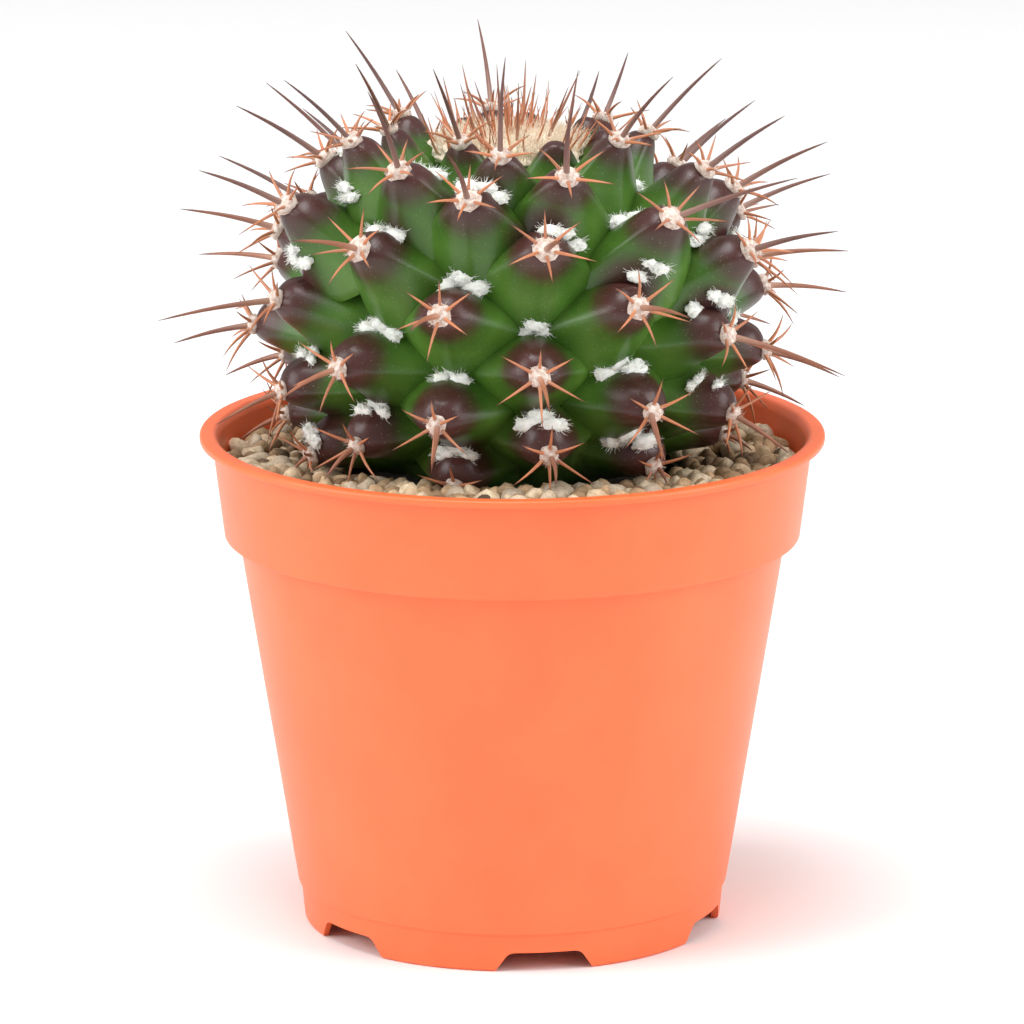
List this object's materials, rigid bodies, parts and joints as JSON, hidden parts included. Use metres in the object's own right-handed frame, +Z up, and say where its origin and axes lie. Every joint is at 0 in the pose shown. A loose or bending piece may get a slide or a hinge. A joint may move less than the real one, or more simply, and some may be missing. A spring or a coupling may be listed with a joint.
{
  "type": "potted round cactus",
  "caption": "Small round cactus with long spines and woolly crown, growing in a tapered plastic pot topped with gravel; stands on a notched foot ring.",
  "frame": {"origin": "middle of the pot's footprint, on the surface that the pot stands on", "axes": "+Z up through the middle of the pot and the plant; -Y is the front, +X is to the right seen from the front"},
  "size_m": [0.0927, 0.0929, 0.1246],
  "materials": {
    "pot_plastic": "satin moulded plastic with a very fine texture",
    "potting_soil": "dark crumbly soil",
    "gravel": "tan, cream and grey-brown rounded gravel, dry",
    "stem_skin": "satin green skin, purple-brown towards the tubercle tips",
    "wool": "white to cream plant wool",
    "spine": "smooth horny spines, tan-pink with darker tips, on felt pads"
  },
  "bodies": {
    "root": {"areole_spines_01": "spine", "areole_spines_02": "spine", "areole_spines_03": "spine", "areole_spines_04": "spine", "areole_spines_05": "spine", "areole_spines_06": "spine", "areole_spines_07": "spine", "areole_spines_08": "spine", "areole_spines_09": "spine", "areole_spines_10": "spine", "areole_spines_11": "spine", "areole_spines_12": "spine", "areole_spines_13": "spine", "areole_spines_14": "spine", "areole_spines_15": "spine", "areole_spines_16": "spine", "areole_spines_17": "spine", "areole_spines_18": "spine", "areole_spines_19": "spine", "areole_spines_20": "spine", "areole_spines_21": "spine", "areole_spines_22": "spine", "areole_spines_23": "spine", "areole_spines_24": "spine", "areole_spines_25": "spine", "areole_spines_26": "spine", "areole_spines_27": "spine", "areole_spines_28": "spine", "areole_spines_29": "spine", "areole_spines_30": "spine", "areole_spines_31": "spine", "areole_spines_32": "spine", "areole_spines_33": "spine", "areole_spines_34": "spine", "areole_spines_35": "spine", "areole_spines_36": "spine", "areole_spines_37": "spine", "areole_spines_38": "spine", "areole_spines_39": "spine", "areole_spines_40": "spine", "areole_spines_41": "spine", "areole_spines_42": "spine", "areole_spines_43": "spine", "areole_spines_44": "spine", "areole_spines_45": "spine", "areole_spines_46": "spine", "areole_spines_47": "spine", "areole_spines_48": "spine", "areole_spines_49": "spine", "areole_spines_50": "spine", "areole_spines_51": "spine", "areole_spines_52": "spine", "areole_spines_53": "spine", "areole_spines_54": "spine", "areole_spines_55": "spine", "cactus_stem": "stem_skin", "crown_wool": "wool", "grit_top_dressing": "gravel", "pot": "pot_plastic", "potting_mix": "potting_soil"}
  },
  "joints": []
}
